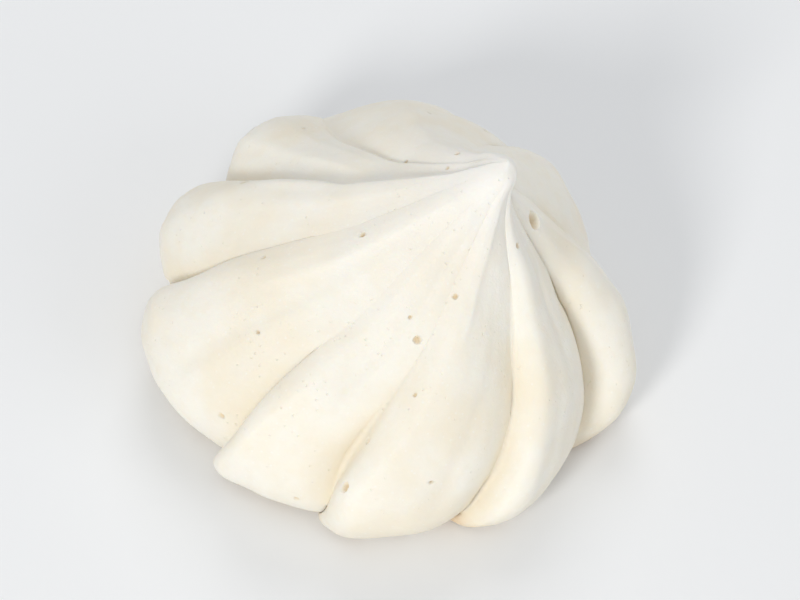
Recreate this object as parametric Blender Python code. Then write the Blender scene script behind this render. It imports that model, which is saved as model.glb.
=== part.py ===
"""Meringue cookie: one piped swirl of egg white and sugar, baked dry.

It has a flat foot that lay on the tray, a round shoulder, uneven lobes from a star nozzle that turn
as they rise, and a drawn-out tip that leans over to one side.

Metres, +Z up. The origin is on the tray, at the middle of the cookie's box.
"""
import math

import bmesh
import bpy

MM = 0.001

# Driving dimensions
WIDEST_RADIUS = 24.4 * MM  # from the axis to the crest of a lobe, at the widest height
HEIGHT = 33.6 * MM  # from the tray to the end of the tip
TIP_LEAN = (9.2 * MM, -0.8 * MM)  # how far the tip has leant over, in X and Y
LEAN_START = 0.30  # share of the height where the lean begins
LEAN_BEND = 1.75  # 1 leans straight, more bends over towards the tip
SWIRL_TURN = math.radians(44.0)  # how far the creases turn, anticlockwise, from the foot to the tip
SWAY = math.radians(3.0)  # how far each crease sways to either side of an even turn
SWAY_STEP = 2.4  # radians between the sways of two creases side by side

# Side of the cookie along the crests: share of the widest radius, share of the height
OUTLINE = (
    (0.800, 0.000),
    (0.905, 0.036),
    (0.985, 0.125),
    (1.000, 0.232),
    (0.950, 0.345),
    (0.838, 0.455),
    (0.685, 0.553),
    (0.518, 0.645),
    (0.358, 0.737),
    (0.223, 0.824),
    (0.134, 0.897),
    (0.086, 0.958),
    (0.000, 1.000),
)

# Each lobe, anticlockwise: bearing in degrees of the crease before it, then pairs of values on the
# shoulder and near the tip: how far the crest reaches out, the crease's depth as a share of
# CREASE_DEPTH, the crease's softness, and the crest's place across the lobe
LOBES = (
    (14.0, 1.028, 1.000, 0.95, 0.75, 0.60, 0.60, 0.78, 0.60),
    (48.0, 1.058, 1.030, 0.62, 0.60, 0.45, 0.75, 0.60, 0.50),
    (98.0, 1.045, 0.680, 0.45, 0.90, 0.60, 0.60, 0.44, 0.60),
    (134.0, 1.025, 1.060, 1.25, 0.90, 0.08, 0.30, 0.60, 0.25),
    (170.0, 1.040, 1.030, 0.95, 0.70, 0.20, 0.45, 0.40, 0.24),
    (217.0, 1.000, 1.000, 1.10, 0.45, 0.15, 0.80, 0.28, 0.24),
    (251.0, 1.010, 1.010, 1.20, 0.60, 0.10, 0.70, 0.32, 0.22),
    (293.0, 0.990, 0.990, 1.20, 0.80, 0.10, 0.45, 0.28, 0.25),
    (332.0, 1.045, 0.960, 1.00, 0.80, 0.20, 0.40, 0.40, 0.28),
)
BEARING = 0
REACH = slice(1, 3)
DEPTH = slice(3, 5)
SOFTNESS = slice(5, 7)
CREST_PLACE = slice(7, 9)

# Creases between the lobes
CREASE_DEPTH = 4.2 * MM  # from the crests to the bottom of a full crease
DEPTH_AT_FOOT = 0.30  # share of the depth that is left at the foot's edge
FULL_DEPTH_RISE = 0.42  # share of the way up the side where a crease is at its deepest
SHOULDER_RISE = 0.30  # share of the way up where the shoulder's depth begins to give way to the tip's
TIP_RISE = 0.65  # share of the way up where the tip's depth is reached
FADE_START = 1.35  # over 1 puts off the creases' fading towards the tip
FADE_BEND = 0.85  # under 1 holds their depth longer
NARROW_RADIUS = 0.77  # share of the widest radius under which creases grow shallower
CLOCKWISE_ROUNDNESS = 2.0  # flanks before the crests: 2 is a circle's arc, 1 is a straight flank
ANTICLOCKWISE_ROUNDNESS = 1.2  # flanks after the crests
CREST_LEAN = 0.16  # how far the crests lean back clockwise, in lobe widths

# Unevenness of the whole swirl
OVAL = 0.030  # share of the radius by which it is longer one way than the other
OVAL_BEARING = math.radians(106.0)
EGG = 0.020  # share of the radius by which it bulges to one side
EGG_BEARING = math.radians(165.0)
SHOULDER_TILT = 0.030  # share of the height by which the shoulder is higher at one side
TILT_BEARING = math.radians(151.0)

# Fineness of the faceted solid
STEPS_ACROSS_LOBE = 12
STEPS_AROUND = STEPS_ACROSS_LOBE * len(LOBES)
RINGS = 38
RINGS_UNDERNEATH = 4
DRAWN_TO_CREASES = 1.35  # over 1 draws the steps together at the creases

MERINGUE_COLOUR = (0.905, 0.860, 0.760, 1.0)
MERINGUE_ROUGHNESS = 0.75


def smooth(share):
    """0 to 1 with level ends."""
    share = min(max(share, 0.0), 1.0)
    return share * share * (3.0 - 2.0 * share)


def arc(share, roundness):
    """Height of a round flank, from 0 at its crease to 1 at its crest."""
    return (1.0 - (1.0 - share) ** roundness) ** (1.0 / roundness)


def outline(rise):
    """Radius and height, as shares, at a share of the way from the foot's edge to the tip (Catmull-Rom)."""
    spans = len(OUTLINE) - 1
    span = min(int(rise * spans), spans - 1)
    part = rise * spans - span
    before = OUTLINE[max(span - 1, 0)]
    start = OUTLINE[span]
    end = OUTLINE[span + 1]
    after = OUTLINE[min(span + 2, spans)]
    values = []
    for a, b, c, d in zip(before, start, end, after):
        bend = 2 * a - 5 * b + 4 * c - d + part * (3 * (b - c) + d - a)
        values.append(b + 0.5 * part * (c - a + part * bend))
    return values


def own_value(lobe, pair, rise):
    """A lobe's own value, which changes between the shoulder and the tip."""
    on_shoulder, near_tip = LOBES[lobe][pair]
    share = smooth((rise - SHOULDER_RISE) / (TIP_RISE - SHOULDER_RISE))
    return on_shoulder + (near_tip - on_shoulder) * share


def flank(to_crest, roundness, softness):
    """Height of a flank, from 0 at its crease to 1 at its crest: round, or wavy where the crease is soft."""
    wavy = 0.5 - 0.5 * math.cos(math.pi * to_crest)
    return arc(to_crest, roundness) * (1.0 - softness) + wavy * softness


def crease_depth(lobe, rise):
    """Depth of the crease before a lobe."""
    growth = DEPTH_AT_FOOT + (1.0 - DEPTH_AT_FOOT) * math.sin(min(rise / FULL_DEPTH_RISE, 1.0) * math.pi / 2)
    fading = min(1.0, FADE_START * (1.0 - rise) ** FADE_BEND)
    return CREASE_DEPTH * own_value(lobe, DEPTH, rise) * growth * fading


def crease_bearing(lobe, rise):
    """Bearing of the crease before a lobe, which turns and sways as it rises."""
    sway = SWAY * math.sin(math.tau * rise + SWAY_STEP * lobe) * (1.0 - rise)
    return math.radians(LOBES[lobe][BEARING]) + SWIRL_TURN * rise + sway


def side_point(lobe, across, rise):
    """Point on the side: a share of the way across one lobe, and up from the foot's edge to the tip."""
    crest_place = own_value(lobe, CREST_PLACE, rise)
    next_lobe = (lobe + 1) % len(LOBES)
    if across < crest_place:
        to_crest = across / crest_place
        flank_height = flank(to_crest, CLOCKWISE_ROUNDNESS, own_value(lobe, SOFTNESS, rise))
        fall = crease_depth(lobe, rise) * (1.0 - flank_height)
        reach_beside = own_value(lobe - 1, REACH, rise)
    else:
        to_crest = (1.0 - across) / (1.0 - crest_place)
        flank_height = flank(to_crest, ANTICLOCKWISE_ROUNDNESS, own_value(next_lobe, SOFTNESS, rise))
        fall = crease_depth(next_lobe, rise) * (1.0 - flank_height)
        reach_beside = own_value(next_lobe, REACH, rise)
    reach = own_value(lobe, REACH, rise)
    reach += 0.5 * (reach_beside - reach) * (1.0 - smooth(to_crest))
    lean_back = CREST_LEAN * math.sin(math.pi * across) * (1.0 - across)
    lean_back *= crease_depth(lobe, rise) / CREASE_DEPTH
    start = crease_bearing(lobe, rise)
    width = (crease_bearing(next_lobe, rise) - start) % math.tau
    angle = start + width * (across - lean_back)

    radius_share, height_share = outline(rise)
    uneven = OVAL * math.cos(2 * (angle - OVAL_BEARING)) + EGG * math.cos(angle - EGG_BEARING)
    radius = WIDEST_RADIUS * radius_share * (1.0 + uneven) * reach
    radius -= fall * min(1.0, radius_share / NARROW_RADIUS)
    tilt = SHOULDER_TILT * math.sin(math.pi * height_share) * math.cos(angle - TILT_BEARING)
    lean = max(0.0, (height_share - LEAN_START) / (1.0 - LEAN_START)) ** LEAN_BEND
    x = radius * math.cos(angle) + TIP_LEAN[0] * lean
    y = radius * math.sin(angle) + TIP_LEAN[1] * lean
    return x, y, HEIGHT * (height_share + tilt)


def across_lobe(step):
    """Lobe number, and the share of the way across it, of a step round the cookie."""
    lobe, place = divmod(step, STEPS_ACROSS_LOBE)
    even = place / STEPS_ACROSS_LOBE
    if even < 0.5:
        return lobe, 0.5 * (2.0 * even) ** DRAWN_TO_CREASES
    return lobe, 1.0 - 0.5 * (2.0 - 2.0 * even) ** DRAWN_TO_CREASES


def swirl_point(step, ring):
    """Point of the skin at a step round the cookie and a ring from the underside's middle to the tip."""
    lobe, across = across_lobe(step)
    if ring >= RINGS_UNDERNEATH:
        return side_point(lobe, across, (ring - RINGS_UNDERNEATH) / (RINGS - RINGS_UNDERNEATH))
    x, y, z = side_point(lobe, across, 0.0)
    outward = ring / RINGS_UNDERNEATH
    return x * outward, y * outward, z


def make_swirl(name):
    """A sphere whose rings and steps are drawn out to the piped swirl."""
    bm = bmesh.new()
    bmesh.ops.create_uvsphere(bm, u_segments=STEPS_AROUND, v_segments=RINGS, radius=1.0)
    for vertex in bm.verts:
        step = round(math.atan2(vertex.co.y, vertex.co.x) / math.tau * STEPS_AROUND) % STEPS_AROUND
        ring = round((math.asin(max(-1.0, min(1.0, vertex.co.z))) / math.pi + 0.5) * RINGS)
        vertex.co = swirl_point(step, ring)
    middle_x = (max(v.co.x for v in bm.verts) + min(v.co.x for v in bm.verts)) / 2
    middle_y = (max(v.co.y for v in bm.verts) + min(v.co.y for v in bm.verts)) / 2
    bmesh.ops.translate(bm, vec=(-middle_x, -middle_y, 0.0), verts=bm.verts)
    bmesh.ops.recalc_face_normals(bm, faces=bm.faces)
    mesh = bpy.data.meshes.new(name)
    bm.to_mesh(mesh)
    bm.free()
    mesh.shade_smooth()
    return bpy.data.objects.new(name, mesh)


def make_material(name):
    material = bpy.data.materials.new(name)
    material.use_nodes = True
    shader = material.node_tree.nodes["Principled BSDF"]
    shader.inputs["Base Color"].default_value = MERINGUE_COLOUR
    shader.inputs["Roughness"].default_value = MERINGUE_ROUGHNESS
    shader.inputs["Metallic"].default_value = 0.0
    return material


def main():
    for old in list(bpy.data.objects):
        bpy.data.objects.remove(old, do_unlink=True)
    cookie = bpy.data.collections.new("meringue_cookie")
    bpy.context.scene.collection.children.link(cookie)
    swirl = make_swirl("meringue")
    swirl.data.materials.append(make_material("meringue"))
    cookie.objects.link(swirl)


main()
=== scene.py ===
"""Meringue cookie, as it looks: one piped swirl of egg white and sugar, baked dry.

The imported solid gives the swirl's place and size. This script makes the fine skin in its place, with
tight creases, folds, burst bubbles, a chipped patch, a crumbly foot and a browned underside, then its
finish and a small studio.
"""
import math
import random

import bmesh
import bpy
import numpy as np
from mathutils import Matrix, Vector, noise


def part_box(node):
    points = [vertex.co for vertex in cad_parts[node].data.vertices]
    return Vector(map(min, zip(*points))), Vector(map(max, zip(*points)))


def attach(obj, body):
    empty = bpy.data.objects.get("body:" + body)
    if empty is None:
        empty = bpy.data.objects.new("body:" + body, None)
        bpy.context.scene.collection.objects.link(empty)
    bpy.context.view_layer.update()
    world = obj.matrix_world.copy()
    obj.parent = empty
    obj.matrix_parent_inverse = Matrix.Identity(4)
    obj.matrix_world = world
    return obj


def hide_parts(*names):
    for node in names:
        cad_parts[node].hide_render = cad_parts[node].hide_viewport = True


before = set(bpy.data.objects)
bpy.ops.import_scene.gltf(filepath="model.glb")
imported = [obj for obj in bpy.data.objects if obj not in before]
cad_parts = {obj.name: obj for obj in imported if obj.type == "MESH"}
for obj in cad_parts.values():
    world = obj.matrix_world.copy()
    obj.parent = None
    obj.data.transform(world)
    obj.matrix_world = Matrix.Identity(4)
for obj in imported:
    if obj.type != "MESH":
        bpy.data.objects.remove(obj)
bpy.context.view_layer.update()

MM = 0.001

# The swirl's size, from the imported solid
BOX_LOW, BOX_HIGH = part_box("meringue")
HEIGHT = BOX_HIGH.z - BOX_LOW.z
WIDEST_RADIUS = 0.4846 * (BOX_HIGH.x - BOX_LOW.x + BOX_HIGH.y - BOX_LOW.y) / 2
TIP_LEAN = (0.274 * HEIGHT, -0.024 * HEIGHT)  # how far the tip has leant over, in X and Y
LEAN_START = 0.30  # share of the height where the lean begins
LEAN_BEND = 1.75  # 1 leans straight, more bends over towards the tip
SWIRL_TURN = math.radians(44.0)  # how far the creases turn, anticlockwise, from the foot to the tip
SWAY = math.radians(3.0)  # how far each crease sways to either side of an even turn
SWAY_STEP = 2.4  # radians between the sways of two creases side by side

# Side of the cookie along the crests: share of the widest radius, share of the height
OUTLINE = np.array((
    (0.800, 0.000),
    (0.905, 0.036),
    (0.985, 0.125),
    (1.000, 0.232),
    (0.950, 0.345),
    (0.838, 0.455),
    (0.685, 0.553),
    (0.518, 0.645),
    (0.358, 0.737),
    (0.223, 0.824),
    (0.134, 0.897),
    (0.086, 0.958),
    (0.000, 1.000),
))

# Each lobe, anticlockwise: bearing in degrees of the crease before it, then pairs of values on the
# shoulder and near the tip: how far the crest reaches out, the crease's depth as a share of
# CREASE_DEPTH, the crease's softness, and the crest's place across the lobe
LOBES = np.array((
    (14.0, 1.028, 1.000, 0.95, 0.75, 0.60, 0.60, 0.78, 0.60),
    (48.0, 1.058, 1.030, 0.62, 0.60, 0.45, 0.75, 0.60, 0.50),
    (98.0, 1.045, 0.680, 0.45, 1.30, 0.60, 0.30, 0.44, 0.60),
    (134.0, 1.025, 1.060, 1.25, 0.90, 0.08, 0.30, 0.60, 0.25),
    (170.0, 1.040, 1.030, 0.95, 0.58, 0.25, 0.70, 0.40, 0.24),
    (217.0, 1.000, 1.000, 1.10, 0.45, 0.15, 0.80, 0.28, 0.24),
    (251.0, 1.010, 1.010, 1.20, 0.60, 0.10, 0.70, 0.32, 0.22),
    (293.0, 0.990, 0.990, 1.20, 0.80, 0.10, 0.45, 0.28, 0.25),
    (332.0, 1.045, 0.960, 1.00, 0.80, 0.20, 0.40, 0.40, 0.28),
))
BEARINGS = LOBES[:, 0]
REACHES, DEPTHS, SOFTNESSES, CREST_PLACES = LOBES[:, 1:3].T, LOBES[:, 3:5].T, LOBES[:, 5:7].T, LOBES[:, 7:9].T
LOBE_COUNT = len(LOBES)

# Creases between the lobes
CREASE_DEPTH = 0.172 * WIDEST_RADIUS  # from the crests to the bottom of a full crease
DEPTH_AT_FOOT = 0.30  # share of the depth that is left at the foot's edge
FULL_DEPTH_RISE = 0.42  # share of the way up the side where a crease is at its deepest
SHOULDER_RISE = 0.30  # share of the way up where the shoulder's depth begins to give way to the tip's
TIP_RISE = 0.65  # share of the way up where the tip's depth is reached
FADE_START = 1.35  # over 1 puts off the creases' fading towards the tip
FADE_BEND = 0.85  # under 1 holds their depth longer
NARROW_RADIUS = 0.77  # share of the widest radius under which creases grow shallower
CLOCKWISE_ROUNDNESS = 2.0  # flanks before the crests: 2 is a circle's arc, 1 is a straight flank
ANTICLOCKWISE_ROUNDNESS = 1.2  # flanks after the crests
CREST_LEAN = 0.34  # how far the crests lean back clockwise over the creases, in lobe widths
WANDER = 1.1 * MM  # how far a crease strays from its even line
WANDER_LENGTH = 0.16  # rise over which it strays once
DEPTH_VARIATION = 0.35  # how much a crease's depth changes along it

# Unevenness of the whole swirl
OVAL = 0.030  # share of the radius by which it is longer one way than the other
OVAL_BEARING = math.radians(106.0)
EGG = 0.020  # share of the radius by which it bulges to one side
EGG_BEARING = math.radians(165.0)
SHOULDER_TILT = 0.030  # share of the height by which the shoulder is higher at one side
TILT_BEARING = math.radians(151.0)

# Fineness of the skin
STEPS_ACROSS_LOBE = 44
STEPS_AROUND = STEPS_ACROSS_LOBE * LOBE_COUNT
RINGS_UP_SIDE = 146
RINGS_UNDERNEATH = 36
DRAWN_TO_CREASES = 1.35  # over 1 draws the steps together at the creases


def smooth(share):
    """0 to 1 with level ends."""
    share = np.clip(share, 0.0, 1.0)
    return share * share * (3.0 - 2.0 * share)


def arc(share, roundness):
    """Height of a round flank, from 0 at its crease to 1 at its crest."""
    return (1.0 - (1.0 - share) ** roundness) ** (1.0 / roundness)


def noise_at(points, size, shift=0.0):
    """Smooth noise, mostly from -0.6 to 0.6, with features of the given size."""
    flat = (np.asarray(points).reshape(-1, 3) / size + shift).tolist()
    values = np.fromiter((noise.noise(place) for place in flat), float, len(flat))
    return values.reshape(np.shape(points)[:-1])


def lumps_at(points, size, shift=0.0):
    """1 at the middle of each round lump, falling to 0 between lumps."""
    flat = (np.asarray(points).reshape(-1, 3) / size + shift).tolist()
    values = np.fromiter((noise.voronoi(place)[0][0] for place in flat), float, len(flat))
    return np.clip(1.0 - values.reshape(np.shape(points)[:-1]) ** 2, 0.0, 1.0)


def outline(rise):
    """Radius and height, as shares, up from the foot's edge (rise 0) to the tip (rise 1)."""
    spans = len(OUTLINE) - 1
    span = np.minimum((rise * spans).astype(int), spans - 1)
    part = (rise * spans - span)[:, None]
    before = OUTLINE[np.maximum(span - 1, 0)]
    start = OUTLINE[span]
    end = OUTLINE[span + 1]
    after = OUTLINE[np.minimum(span + 2, spans)]
    bend = 2 * before - 5 * start + 4 * end - after + part * (3 * (start - end) + after - before)
    return (start + 0.5 * part * (end - before + part * bend)).T


def even_rises(count):
    """Rises from the foot's edge to the tip whose rings lie evenly up the side."""
    fine = np.linspace(0.0, 1.0, 2001)
    radius, height = outline(fine)
    gaps = np.hypot(np.diff(radius) * WIDEST_RADIUS, np.diff(height) * HEIGHT)
    length = np.concatenate(((0.0,), np.cumsum(gaps)))
    return np.interp(np.linspace(0.0, length[-1], count + 1), length, fine)


def per_lobe(rise, values):
    """A value of each lobe as it changes from the shoulder to the tip, one row for each rise."""
    on_shoulder, near_tip = values
    towards_tip = smooth((rise - SHOULDER_RISE) / (TIP_RISE - SHOULDER_RISE))[:, None]
    return on_shoulder + (near_tip - on_shoulder) * towards_tip


def along_crease(rise, length, shift):
    """Noise that changes along each crease, one row for each rise."""
    places = np.zeros((len(rise), LOBE_COUNT, 3))
    places[..., 0] = rise[:, None] / length
    places[..., 1] = 7.3 * np.arange(LOBE_COUNT) + shift
    return noise_at(places, 1.0)


def crease_depths(rise):
    """Depth of the crease before each lobe, one row for each rise."""
    growth = DEPTH_AT_FOOT + (1.0 - DEPTH_AT_FOOT) * np.sin(np.minimum(rise / FULL_DEPTH_RISE, 1.0) * math.pi / 2)
    fading = np.minimum(1.0, FADE_START * (1.0 - rise) ** FADE_BEND)
    own = per_lobe(rise, DEPTHS)
    own = own * (1.0 + DEPTH_VARIATION * along_crease(rise, 0.22, 40.0))
    return CREASE_DEPTH * own * (growth * fading)[:, None]


def crease_bearings(rise):
    """Bearing of the crease before each lobe, one row for each rise."""
    sway = SWAY * np.sin(math.tau * rise[:, None] + SWAY_STEP * np.arange(LOBE_COUNT)) * (1.0 - rise[:, None])
    stray = WANDER / WIDEST_RADIUS * along_crease(rise, WANDER_LENGTH, 0.0)
    return np.radians(BEARINGS) + SWIRL_TURN * rise[:, None] + sway + stray


def across_lobes():
    """Lobe number and share of the way across it of each step round the cookie."""
    even = np.arange(STEPS_ACROSS_LOBE) / STEPS_ACROSS_LOBE
    before_middle = 0.5 * (2.0 * even) ** DRAWN_TO_CREASES
    after_middle = 1.0 - 0.5 * np.abs(2.0 - 2.0 * even) ** DRAWN_TO_CREASES
    across = np.tile(np.where(even < 0.5, before_middle, after_middle), LOBE_COUNT)
    return np.repeat(np.arange(LOBE_COUNT), STEPS_ACROSS_LOBE), across


def side(rise):
    """Points of the side, a row of steps round the cookie for each rise, and how deep each is in a crease."""
    lobe, across = across_lobes()
    next_lobe = (lobe + 1) % LOBE_COUNT
    depths = crease_depths(rise)
    bearings = crease_bearings(rise)
    softness = per_lobe(rise, SOFTNESSES)

    crest_place = per_lobe(rise, CREST_PLACES)[:, lobe]
    clockwise = across < crest_place
    to_crest = np.where(clockwise, across / crest_place, (1.0 - across) / (1.0 - crest_place))
    tight = np.where(clockwise, arc(to_crest, CLOCKWISE_ROUNDNESS), arc(to_crest, ANTICLOCKWISE_ROUNDNESS))
    soft = 0.5 - 0.5 * np.cos(math.pi * to_crest)
    flank = tight + (soft - tight) * np.where(clockwise, softness[:, lobe], softness[:, next_lobe])
    fall = np.where(clockwise, depths[:, lobe], depths[:, next_lobe]) * (1.0 - flank)
    reaches = per_lobe(rise, REACHES)
    beside = np.where(clockwise, lobe - 1, next_lobe)
    reach_beside = np.take_along_axis(reaches, beside, axis=1)
    reach = reaches[:, lobe] + 0.5 * (reach_beside - reaches[:, lobe]) * (1.0 - smooth(to_crest))

    lean_back = CREST_LEAN * np.sin(math.pi * across) * (1.0 - across) * depths[:, lobe] / CREASE_DEPTH
    lean_back = lean_back * (1.0 - softness[:, lobe])
    start = bearings[:, lobe]
    width = (bearings[:, next_lobe] - start) % math.tau
    angle = start + width * (across - lean_back)

    radius_share, height_share = (column[:, None] for column in outline(rise))
    uneven = OVAL * np.cos(2 * (angle - OVAL_BEARING)) + EGG * np.cos(angle - EGG_BEARING)
    radius = WIDEST_RADIUS * radius_share * (1.0 + uneven) * reach
    radius = radius - fall * np.minimum(1.0, radius_share / NARROW_RADIUS)
    tilt = SHOULDER_TILT * np.sin(math.pi * height_share) * np.cos(angle - TILT_BEARING)
    lean = np.maximum(0.0, (height_share - LEAN_START) / (1.0 - LEAN_START)) ** LEAN_BEND
    x = radius * np.cos(angle) + TIP_LEAN[0] * lean
    y = radius * np.sin(angle) + TIP_LEAN[1] * lean
    z = HEIGHT * (height_share + tilt)
    in_crease = fall / CREASE_DEPTH * np.minimum(1.0, radius_share / NARROW_RADIUS)
    return np.stack((x, y, z), axis=-1), in_crease


# Folds that the nozzle's teeth left along the lobes: lobe, place across it at the fold's start and
# end, rise at its start and end, height and width in millimetres. A negative height is a groove.
FOLDS = (
    (3, 0.60, 0.50, 0.30, 0.82, 0.34, 1.5),
    (4, 0.66, 0.58, 0.22, 0.62, -0.26, 1.1),
    (4, 0.34, 0.52, 0.46, 0.88, 0.36, 1.2),
    (5, 0.58, 0.70, 0.40, 0.80, -0.30, 1.0),
    (6, 0.30, 0.44, 0.52, 0.90, 0.30, 0.9),
    (6, 0.70, 0.62, 0.18, 0.50, -0.24, 1.3),
    (7, 0.64, 0.56, 0.34, 0.78, -0.28, 1.0),
    (8, 0.52, 0.44, 0.28, 0.70, 0.26, 1.3),
    (0, 0.66, 0.60, 0.30, 0.72, -0.26, 1.1),
    (1, 0.34, 0.46, 0.22, 0.66, -0.32, 1.3),
    (2, 0.64, 0.58, 0.26, 0.70, 0.28, 1.4),
)
FOLD_FADE = 0.10  # rise over which a fold dies away at each end

# Slow rise and fall of the skin, and fine lines dragged along the lobes
SWELL = 0.60 * MM
SWELL_SIZE = 9.5 * MM
RIPPLE = 0.20 * MM
RIPPLE_SIZE = 3.8 * MM
DRAG_LINE = 0.10 * MM
DRAG_LINES_ACROSS_LOBE = 8.0
DRAG_LINE_LENGTH = 0.35  # as a rise
DRAG_LINE_RADIUS = 0.75  # share of the widest radius under which the lines die away
FOOT_CALM = 0.04  # rise below which the skin keeps to the foot's edge


def grid_normals(points):
    """Unit normals of a grid of points that closes round the cookie."""
    along = np.roll(points, -1, axis=1) - np.roll(points, 1, axis=1)
    up = np.gradient(points, axis=0)
    normals = np.cross(along, up)
    lengths = np.linalg.norm(normals, axis=-1, keepdims=True)
    return normals / np.maximum(lengths, 1e-12)


def folds(rise):
    """How far the folds stand out of each point of the side."""
    lobe, across = across_lobes()
    radius = WIDEST_RADIUS * np.maximum(outline(rise)[0], 0.02)
    bearings = crease_bearings(rise)
    height = np.zeros((len(rise), STEPS_AROUND))
    for number, start_place, end_place, start, end, tall, wide in FOLDS:
        part = (rise - start) / (end - start)
        place = start_place + (end_place - start_place) * part
        lobe_width = radius * ((bearings[:, (number + 1) % LOBE_COUNT] - bearings[:, number]) % math.tau)
        away = (across[None] - place[:, None]) * lobe_width[:, None] / (wide * MM)
        fading = smooth((rise - start) / FOLD_FADE) * smooth((end - rise) / FOLD_FADE)
        sharp = np.where(away > 0, 1.6, 0.8)
        shape = 1.0 / (1.0 + (sharp * away) ** 2) ** 1.5
        narrow = np.minimum(1.0, lobe_width / (4.0 * MM))
        height += np.where(lobe[None] == number, tall * MM * shape * (fading * narrow)[:, None], 0.0)
    return height


def roughen(points, in_crease, rise):
    """The even swirl, with the folds, swells, ripples and drag lines of a real one."""
    lobe, across = across_lobes()
    radius_share = outline(rise)[0]
    crest = np.clip(1.0 - in_crease, 0.0, 1.0)
    swell = SWELL * noise_at(points, SWELL_SIZE, 3.7)
    ripple = RIPPLE * noise_at(points, RIPPLE_SIZE, 11.3) * crest
    place = np.empty_like(points)
    place[..., 0] = across * DRAG_LINES_ACROSS_LOBE
    place[..., 1] = lobe * 5.3
    place[..., 2] = rise[:, None] / DRAG_LINE_LENGTH
    in_lobe = (1.0 - np.abs(2.0 * across - 1.0) ** 4)
    line_share = smooth(radius_share / DRAG_LINE_RADIUS)[:, None] * in_lobe
    lines = DRAG_LINE * noise_at(place, 1.0) * line_share
    calm = smooth(rise / FOOT_CALM)[:, None] * np.minimum(1.0, radius_share / 0.12)[:, None]
    height = (swell + ripple + lines + folds(rise)) * calm
    return points + grid_normals(points) * height[..., None]


# Foot: the edge that spread on the tray
FOOT_WAVE = 0.55 * MM
FOOT_WAVE_SIZE = 6.0 * MM
FOOT_NICK = 0.30 * MM
FOOT_NICK_SIZE = 1.7 * MM
FOOT_RISE = 0.055  # rise where the foot's unevenness has died away

# Tip: where the nozzle was pulled away
TIP_RAG = 0.42 * MM
TIP_RAG_SIZE = 1.5 * MM
TIP_RAG_RISE = 0.90


def spread_foot(points, rise):
    """Moves the foot's edge in and out, as the batter spread unevenly on the tray."""
    outward = points[..., :2] / np.maximum(np.linalg.norm(points[..., :2], axis=-1, keepdims=True), 1e-9)
    flat = points.copy()
    flat[..., 2] = 0.0
    spread = FOOT_WAVE * noise_at(flat, FOOT_WAVE_SIZE, 51.0) + FOOT_NICK * noise_at(flat, FOOT_NICK_SIZE, 57.0)
    share = (1.0 - smooth(rise / FOOT_RISE))[:, None]
    moved = points.copy()
    moved[..., :2] += outward * (spread * share)[..., None]
    return moved


def rag_tip(points, rise):
    """Tears the end of the tip a little."""
    share = smooth((rise - TIP_RAG_RISE) / (1.0 - TIP_RAG_RISE))[:, None]
    shove = np.stack([noise_at(points, TIP_RAG_SIZE, 61.0 + 9.0 * way) for way in range(3)], axis=-1)
    return points + TIP_RAG * shove * share[..., None]


# Underside: a shallow hollow inside the ring that touched the tray
HOLLOW = 0.75 * MM
HOLLOW_EDGE = 0.93  # share of the way out where the touching ring begins
UNDER_RIPPLE = 0.30 * MM
UNDER_RIPPLE_SIZE = 4.5 * MM


def underside(edge):
    """Rows of points from near the middle of the underside out to its edge."""
    outward = np.linspace(0.0, 1.0, RINGS_UNDERNEATH + 1)[1:-1] ** 0.85
    points = edge[None] * outward[:, None, None]
    inside = smooth((HOLLOW_EDGE - outward) / HOLLOW_EDGE * 2.2)[:, None]
    ripple = UNDER_RIPPLE * noise_at(points, UNDER_RIPPLE_SIZE, 21.0)
    points[..., 2] = inside * np.maximum(0.15 * MM, HOLLOW * (1.0 - 0.35 * outward[:, None]) + ripple)
    return points


# Burst bubbles on the side: lobe, place across it, rise, radius and depth in millimetres
BUBBLES = (
    (8, 0.27, 0.646, 0.90, 0.95),
    (0, 0.22, 0.655, 0.50, 0.45),
    (3, 0.30, 0.470, 0.55, 0.40),
    (6, 0.16, 0.300, 0.60, 0.45),
    (5, 0.86, 0.560, 0.45, 0.40),
    (2, 0.55, 0.330, 1.05, 0.70),
    (2, 0.68, 0.290, 0.55, 0.45),
    (1, 0.25, 0.190, 0.60, 0.50),
    (7, 0.80, 0.200, 0.50, 0.40),
)
PINHOLES = 26
PINHOLE_RADII = (0.20, 0.36)  # millimetres
UNDER_BUBBLES = 20
UNDER_BUBBLE_RADII = (0.35, 0.95)  # millimetres
SEED = 41
BUBBLE_MARGIN = 0.60 * MM  # finer skin is made this far beyond a bubble's rim
RIM_UNEVENNESS = 0.20
RIM_HEIGHT = 0.10  # of the depth

# A patch low on the back left where the skin has chipped away from the crumbly inside
CHIP_BEARING = math.radians(163.0)
CHIP_HEIGHT = 3.4 * MM
CHIP_HALF_LENGTH = 7.5 * MM
CHIP_HALF_HEIGHT = 3.6 * MM
CHIP_DEPTH = 0.60 * MM
CHIP_LUMPS = 0.85 * MM
CHIP_LUMP_SIZE = 1.15 * MM
CHIP_GRAINS = 0.34 * MM
CHIP_GRAIN_SIZE = 0.55 * MM


def chip_share(points):
    """Over 0 inside the chipped patch, under 0 outside it, about one unit from its middle to its edge."""
    bearing = np.arctan2(points[..., 1], points[..., 0])
    turn = (bearing - CHIP_BEARING + math.pi) % math.tau - math.pi
    along = turn * WIDEST_RADIUS / CHIP_HALF_LENGTH
    up = (points[..., 2] - CHIP_HEIGHT) / CHIP_HALF_HEIGHT
    return 1.0 - np.sqrt(along ** 2 + up ** 2) + 0.75 * noise_at(points, 2.6 * MM, 71.0)


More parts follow.
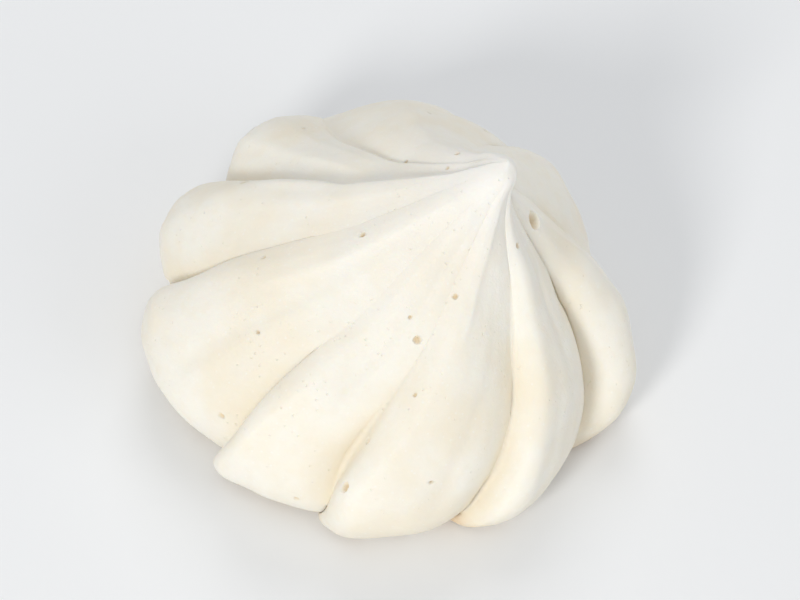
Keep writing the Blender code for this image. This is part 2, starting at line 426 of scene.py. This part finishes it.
def bubble_places(rise, rows_underneath):
    """Middle, radius and depth of every burst bubble and pinhole, in metres."""
    rng = random.Random(SEED)
    lobe, across = across_lobes()
    places = []

    def on_side(number, place, height, radius, depth):
        ring = int(np.argmin(np.abs(rise - height)))
        in_lobe = np.where(lobe == number, np.abs(across - place), 9.0)
        step = int(np.argmin(in_lobe))
        places.append(((rows_underneath + ring) * STEPS_AROUND + step, radius * MM, depth * MM))

    for bubble in BUBBLES:
        on_side(*bubble)
    for _ in range(PINHOLES):
        near_crease = 0.5 * rng.random() ** 1.4
        place = near_crease if rng.random() < 0.5 else 1.0 - near_crease
        radius = rng.uniform(*PINHOLE_RADII)
        on_side(rng.randrange(LOBE_COUNT), place, rng.uniform(0.05, 0.80), radius, radius * rng.uniform(0.9, 1.3))
    for _ in range(UNDER_BUBBLES):
        ring = rng.randrange(6, rows_underneath - 4)
        smallest, largest = UNDER_BUBBLE_RADII
        radius = smallest + (largest - smallest) * rng.random() ** 2
        places.append((ring * STEPS_AROUND + rng.randrange(STEPS_AROUND), radius * MM, radius * 0.7 * MM))
    return places


def vertex_table(bm):
    """Places and normals of all vertices."""
    bm.verts.ensure_lookup_table()
    places = np.array([v.co[:] for v in bm.verts])
    normals = np.array([v.normal[:] for v in bm.verts])
    return places, normals


def make_finer(bm, wanted):
    """Halves the size of the faces all of whose corners are wanted."""
    edges = {edge for face in bm.faces if all(wanted[v.index] for v in face.verts) for edge in face.edges}
    bmesh.ops.subdivide_edges(bm, edges=list(edges), cuts=1, use_grid_fill=True)
    bm.verts.ensure_lookup_table()
    bm.verts.index_update()
    bm.normal_update()


def near_bubbles(places, normals, bubbles, margin):
    near = np.zeros(len(places), bool)
    for middle, facing, radius, depth in bubbles:
        away = np.linalg.norm(places - middle, axis=1)
        near |= (away < radius * 1.3 + margin) & (normals @ facing > 0.2)
    return near


def burst_bubble(bm, pit_layer, places, normals, bubble, number):
    """Opens one burst bubble: a bowl with a steep, uneven rim."""
    middle, facing, radius, depth = bubble
    offset = places - middle
    outward = offset @ facing
    flat = offset - outward[:, None] * facing
    away = np.linalg.norm(flat, axis=1)
    chosen = np.nonzero((away < radius * 1.9) & (np.abs(outward) < radius * 2.0 + 0.3 * MM) & (normals @ facing > 0.1))[0]
    for index in chosen:
        direction = flat[index] / max(away[index], 1e-9)
        uneven = noise.noise((direction * 1.3 + 17.0 * number).tolist())
        reach = away[index] / (radius * (1.0 + RIM_UNEVENNESS * uneven))
        vertex = bm.verts[index]
        if reach < 1.0:
            widened = reach ** 0.72
            floor = noise.noise((places[index] / (0.5 * MM)).tolist())
            sink = depth * (1.0 - widened ** 2.6) * (1.0 + 0.25 * floor)
            moved = direction * (widened - reach) * radius - facing * sink
            # pit share: the bubble's tan, strongest at the bowl's middle as painted shade in the hollow
            vertex[pit_layer] = max(vertex[pit_layer], 1.0 - widened ** 2.5)
        else:
            moved = facing * depth * RIM_HEIGHT * math.exp(-((reach - 1.0) / 0.22) ** 2)
        vertex.co += Vector(moved.tolist())


def chip_skin(bm, chip_layer, pit_layer):
    """Breaks the skin away over the chipped patch and leaves the crumbly inside."""
    for vertex in bm.verts:
        share = vertex[chip_layer]
        if share <= 0.0 or vertex.co.z < 0.05 * MM:
            continue
        inside = float(smooth(share / 0.10))
        place = np.array(vertex.co[:])[None]
        lump = CHIP_LUMPS * (lumps_at(place, CHIP_LUMP_SIZE)[0] - 0.6)
        grain = CHIP_GRAINS * (lumps_at(place, CHIP_GRAIN_SIZE)[0] - 0.6)
        vertex.co += vertex.normal * inside * (lump + grain - CHIP_DEPTH)
        vertex[pit_layer] = max(vertex[pit_layer], inside * (0.75 - 0.45 * lumps_at(place, CHIP_LUMP_SIZE)[0]))


def fit_to_box(bm):
    """Moves and, if need be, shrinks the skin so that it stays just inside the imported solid's box."""
    places = np.array([v.co[:] for v in bm.verts])
    low, high = places.min(axis=0), places.max(axis=0)
    box_low, box_high = np.array(BOX_LOW), np.array(BOX_HIGH)
    shrink = min(1.0, 0.999 * ((box_high - box_low) / (high - low)).min())
    foot = Vector(((low[0] + high[0]) / 2, (low[1] + high[1]) / 2, low[2]))
    box_foot = Vector(((box_low[0] + box_high[0]) / 2, (box_low[1] + box_high[1]) / 2, box_low[2]))
    for vertex in bm.verts:
        vertex.co = (vertex.co - foot) * shrink + box_foot


def make_skin(name):
    """The whole skin: side, tip and underside as one closed surface."""
    rise = even_rises(RINGS_UP_SIDE)
    points, in_crease = side(rise)
    points = roughen(points, in_crease, rise)
    points = spread_foot(points, rise)
    points[0, :, 2] = 0.0
    points = rag_tip(points, rise)
    under = underside(points[0])
    rows = np.concatenate((under, points[:-1]))
    vertices = np.concatenate((rows.reshape(-1, 3), under[0].mean(axis=0)[None], points[-1].mean(axis=0)[None]))
    middle, tip = len(vertices) - 2, len(vertices) - 1

    crease_value = np.concatenate((np.zeros(under.shape[:2]), in_crease[:-1])).reshape(-1)
    crease_value = np.concatenate((crease_value, (0.0, 0.0)))
    under_share = np.linspace(1.0, 0.85, len(under))[:, None] * np.ones(STEPS_AROUND)
    under_value = np.concatenate((under_share, np.zeros((len(points) - 1, STEPS_AROUND)))).reshape(-1)
    under_value = np.concatenate((under_value, (1.0, 0.0)))
    chip_value = np.where(under_value > 0, -1.0, chip_share(vertices))

    steps = np.arange(STEPS_AROUND)
    beside = (steps + 1) % STEPS_AROUND
    starts = np.arange(len(rows) - 1)[:, None] * STEPS_AROUND
    quads = np.stack((starts + steps, starts + beside, starts + STEPS_AROUND + beside, starts + STEPS_AROUND + steps), -1)
    last = (len(rows) - 1) * STEPS_AROUND
    faces = quads.reshape(-1, 4).tolist()
    faces += [(middle, int(b), int(s)) for s, b in zip(steps, beside)]
    faces += [(tip, int(last + s), int(last + b)) for s, b in zip(steps, beside)]
    mesh = bpy.data.meshes.new(name)
    mesh.from_pydata(vertices.tolist(), [], faces)
    for layer, values in (("crease", crease_value), ("under", under_value), ("chip", chip_value)):
        mesh.attributes.new(layer, "FLOAT", "POINT").data.foreach_set("value", values.astype(np.float32))
    mesh.attributes.new("pit", "FLOAT", "POINT")

    bm = bmesh.new()
    bm.from_mesh(mesh)
    bm.normal_update()
    chip_layer = bm.verts.layers.float["chip"]
    pit_layer = bm.verts.layers.float["pit"]
    places, normals = vertex_table(bm)
    bubbles = [(places[i].copy(), normals[i].copy(), r, d) for i, r, d in bubble_places(rise, len(under))]
    chipped = np.array([v[chip_layer] > -0.12 for v in bm.verts])
    make_finer(bm, near_bubbles(places, normals, bubbles, BUBBLE_MARGIN) | chipped)
    places, normals = vertex_table(bm)
    make_finer(bm, near_bubbles(places, normals, bubbles, 0.2 * BUBBLE_MARGIN))
    chip_skin(bm, chip_layer, pit_layer)
    bm.normal_update()
    places, normals = vertex_table(bm)
    for number, bubble in enumerate(bubbles):
        burst_bubble(bm, pit_layer, places, normals, bubble, number)
    for vertex in bm.verts:
        vertex.co.z = max(vertex.co.z, 0.0)
    fit_to_box(bm)
    bm.to_mesh(mesh)
    bm.free()
    mesh.shade_smooth()
    piece = bpy.data.objects.new(name, mesh)
    bpy.context.scene.collection.objects.link(piece)
    return piece


# Colours of the baked batter, and of its painted highlight and shade, as linear light
IVORY = (0.900, 0.868, 0.780, 1.0)
# painted highlight: the tip drawn whiter, as where the light catches it
PAINTED_TIP_HIGHLIGHT = (0.880, 0.864, 0.826, 1.0)
CREAM = (0.880, 0.815, 0.680, 1.0)
# painted shade: darker, warmer cream for the shade and warm bounce deep in the creases
PAINTED_CREASE_SHADE = (0.850, 0.765, 0.610, 1.0)
# tan of a burst bubble's inside and chipped crumb, also used as painted shade in the bubbles' bowls
BUBBLE_TAN_AND_SHADE = (0.770, 0.620, 0.380, 1.0)
TOASTED = (0.700, 0.500, 0.300, 1.0)
SUGAR_SPECK = (0.930, 0.920, 0.880, 1.0)


class Nodes:
    """Short ways to add and join a material's nodes."""

    def __init__(self, material):
        material.use_nodes = True
        self.tree = material.node_tree
        self.shader = self.tree.nodes["Principled BSDF"]
        self.place = self.add("ShaderNodeTexCoord").outputs["Object"]

    def add(self, kind, **values):
        node = self.tree.nodes.new(kind)
        for key, value in values.items():
            setattr(node, key, value)
        return node

    def join(self, output, socket):
        self.tree.links.new(output, socket)

    def noise(self, size, detail=2.0, roughness=0.5):
        """Noise from 0 to 1 with features of about the given size in metres."""
        node = self.add("ShaderNodeTexNoise")
        node.inputs["Scale"].default_value = 1.0 / size
        node.inputs["Detail"].default_value = detail
        node.inputs["Roughness"].default_value = roughness
        self.join(self.place, node.inputs["Vector"])
        return node.outputs["Fac"]

    def cells(self, size):
        """Distance to the nearest of many scattered points."""
        node = self.add("ShaderNodeTexVoronoi")
        node.inputs["Scale"].default_value = 1.0 / size
        self.join(self.place, node.inputs["Vector"])
        return node.outputs["Distance"]

    def attribute(self, name):
        return self.add("ShaderNodeAttribute", attribute_name=name).outputs["Fac"]

    def span(self, value, low, high, to_low=0.0, to_high=1.0):
        """Value moved from one span to another, held at its ends."""
        node = self.add("ShaderNodeMapRange")
        self.join(value, node.inputs["Value"])
        for socket, number in zip(("From Min", "From Max", "To Min", "To Max"), (low, high, to_low, to_high)):
            node.inputs[socket].default_value = number
        return node.outputs["Result"]

    def times(self, first, second):
        node = self.add("ShaderNodeMath", operation="MULTIPLY")
        self.join(first, node.inputs[0])
        if isinstance(second, float):
            node.inputs[1].default_value = second
        else:
            self.join(second, node.inputs[1])
        return node.outputs[0]

    def most(self, first, second):
        node = self.add("ShaderNodeMath", operation="MAXIMUM")
        self.join(first, node.inputs[0])
        self.join(second, node.inputs[1])
        return node.outputs[0]

    def blend(self, share, first, second):
        """First colour turning to the second as the share goes from 0 to 1."""
        node = self.add("ShaderNodeMix", data_type="RGBA")
        self.join(share, node.inputs["Factor"])
        for socket, colour in ((node.inputs[6], first), (node.inputs[7], second)):
            if isinstance(colour, tuple):
                socket.default_value = colour
            else:
                self.join(colour, socket)
        return node.outputs[2]

    def bump(self, height, depth, normal=None):
        """Normal of a surface with this height, whose full range is the given depth in metres."""
        node = self.add("ShaderNodeBump")
        node.inputs["Distance"].default_value = depth
        self.join(height, node.inputs["Height"])
        if normal is not None:
            self.join(normal, node.inputs["Normal"])
        return node.outputs["Normal"]


def make_meringue_finish(name):
    material = bpy.data.materials.new(name)
    nodes = Nodes(material)
    crease = nodes.attribute("crease")
    pit = nodes.attribute("pit")
    under = nodes.attribute("under")

    # Colour: ivory with cream clouds, a painted highlight whiter towards the tip, painted shade in darker, warmer
    # cream deeper in the creases and bubbles, toasted below
    clouds = nodes.span(nodes.noise(8.0 * MM, 3.0), 0.42, 0.66)
    colour = nodes.blend(clouds, IVORY, CREAM)
    mottle = nodes.times(nodes.span(nodes.noise(1.6 * MM, 3.0), 0.52, 0.70), 0.35)
    colour = nodes.blend(mottle, colour, CREAM)
    height = nodes.add("ShaderNodeSeparateXYZ")
    nodes.join(nodes.place, height.inputs[0])
    # Painted highlight: paler, whiter colour towards the tip, standing in for the light catching it
    near_tip = nodes.span(height.outputs["Z"], 0.62 * HEIGHT, 0.98 * HEIGHT, 0.0, 0.8)
    colour = nodes.blend(near_tip, colour, PAINTED_TIP_HIGHLIGHT)
    specks = nodes.times(nodes.span(nodes.cells(0.9 * MM), 0.18, 0.08), 0.35)
    colour = nodes.blend(specks, colour, SUGAR_SPECK)
    # Painted shade: darker, warmer cream the deeper a point lies in a crease
    colour = nodes.blend(nodes.span(crease, 0.45, 1.05, 0.0, 0.75), colour, PAINTED_CREASE_SHADE)
    near_tray = nodes.span(height.outputs["Z"], 2.4 * MM, 0.1 * MM)
    patches = nodes.span(nodes.noise(3.5 * MM, 3.0), 0.35, 0.65, 0.25, 0.9)
    colour = nodes.blend(nodes.times(near_tray, patches), colour, TOASTED)
    colour = nodes.blend(nodes.times(under, nodes.span(nodes.noise(6.0 * MM, 4.0), 0.3, 0.7, 0.45, 0.9)), colour, TOASTED)
    # Tan inside bubbles and the chipped patch, deepest at a bubble's middle as painted shade in its bowl
    colour = nodes.blend(nodes.times(pit, 0.85), colour, BUBBLE_TAN_AND_SHADE)
    nodes.join(colour, nodes.shader.inputs["Base Color"])

    # Skin: satin on the crests, dull in the creases and bubbles
    satin = nodes.span(nodes.noise(2.2 * MM, 3.0), 0.3, 0.7, 0.50, 0.66)
    node = nodes.add("ShaderNodeMath", operation="MULTIPLY_ADD")
    nodes.join(nodes.most(crease, pit), node.inputs[0])
    node.inputs[1].default_value = 0.25
    nodes.join(satin, node.inputs[2])
    nodes.join(node.outputs[0], nodes.shader.inputs["Roughness"])

    # Relief: a slight ripple, powdery grain and fine pores
    relief = nodes.bump(nodes.noise(1.1 * MM, 3.0, 0.6), 0.07 * MM)
    relief = nodes.bump(nodes.noise(0.28 * MM, 2.0, 0.6), 0.022 * MM, relief)
    pores = nodes.times(nodes.span(nodes.cells(0.75 * MM), 0.16, 0.05), nodes.span(nodes.noise(5.0 * MM), 0.45, 0.6))
    relief = nodes.bump(pores, -0.06 * MM, relief)
    crumbs = nodes.times(nodes.noise(0.45 * MM, 3.0, 0.6), pit)
    relief = nodes.bump(crumbs, 0.30 * MM, relief)
    nodes.join(relief, nodes.shader.inputs["Normal"])

    nodes.shader.inputs["Specular IOR Level"].default_value = 0.35
    nodes.shader.inputs["Subsurface Weight"].default_value = 0.30
    nodes.shader.inputs["Subsurface Radius"].default_value = (1.0, 0.80, 0.55)
    nodes.shader.inputs["Subsurface Scale"].default_value = 1.4 * MM
    return material


def make_floor():
    mesh = bpy.data.meshes.new("floor")
    half = 15.0
    corners = [(-half, -half, 0.0), (half, -half, 0.0), (half, half, 0.0), (-half, half, 0.0)]
    mesh.from_pydata(corners, [], [(0, 1, 2, 3)])
    floor = bpy.data.objects.new("floor", mesh)
    bpy.context.scene.collection.objects.link(floor)
    material = bpy.data.materials.new("pale_floor")
    material.use_nodes = True
    shader = material.node_tree.nodes["Principled BSDF"]
    shader.inputs["Base Color"].default_value = (0.87, 0.88, 0.89, 1.0)
    shader.inputs["Roughness"].default_value = 0.7
    shader.inputs["Specular IOR Level"].default_value = 0.2
    mesh.materials.append(material)


def make_light(name, place, size, power, colour=(1.0, 1.0, 1.0)):
    light = bpy.data.lights.new(name, "AREA")
    light.shape = "DISK"
    light.size = size
    light.energy = power
    light.color = colour
    lamp = bpy.data.objects.new(name, light)
    lamp.location = place
    aim = Vector((0.0, 0.0, 0.4 * HEIGHT)) - lamp.location
    lamp.rotation_euler = aim.to_track_quat("-Z", "Y").to_euler()
    bpy.context.scene.collection.objects.link(lamp)


def make_studio():
    world = bpy.data.worlds.new("soft_room")
    world.use_nodes = True
    background = world.node_tree.nodes["Background"]
    background.inputs["Color"].default_value = (0.965, 0.98, 1.0, 1.0)
    background.inputs["Strength"].default_value = 0.52
    bpy.context.scene.world = world
    make_light("window", (-0.246, -0.61, 0.38), 0.18, 2.55, (1.0, 0.985, 0.96))
    make_light("fill", (0.50, -0.30, 0.35), 0.40, 0.58)
    make_light("behind", (-0.04, 0.45, 0.54), 0.40, 1.1)
    bpy.context.scene.view_settings.view_transform = "Standard"


def make_camera():
    elevation = math.radians(49.0)
    roll = math.radians(6.5)
    distance = 0.60
    target = Vector((0.0005, 0.0, 0.30 * HEIGHT))
    away = Vector((0.0, -math.cos(elevation), math.sin(elevation)))
    camera = bpy.data.cameras.new("camera")
    camera.lens = 275.0
    camera.clip_start = 0.01
    camera.clip_end = 20.0
    viewer = bpy.data.objects.new("camera", camera)
    viewer.location = target + away * distance
    viewer.rotation_euler = (-away).to_track_quat("-Z", "Y").to_euler()
    viewer.rotation_euler.rotate_axis("Z", roll)
    bpy.context.scene.collection.objects.link(viewer)
    bpy.context.scene.camera = viewer


skin = make_skin("meringue_skin")
skin.data.materials.append(make_meringue_finish("meringue_finish"))
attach(skin, "root")
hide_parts("meringue")
make_floor()
make_studio()
make_camera()
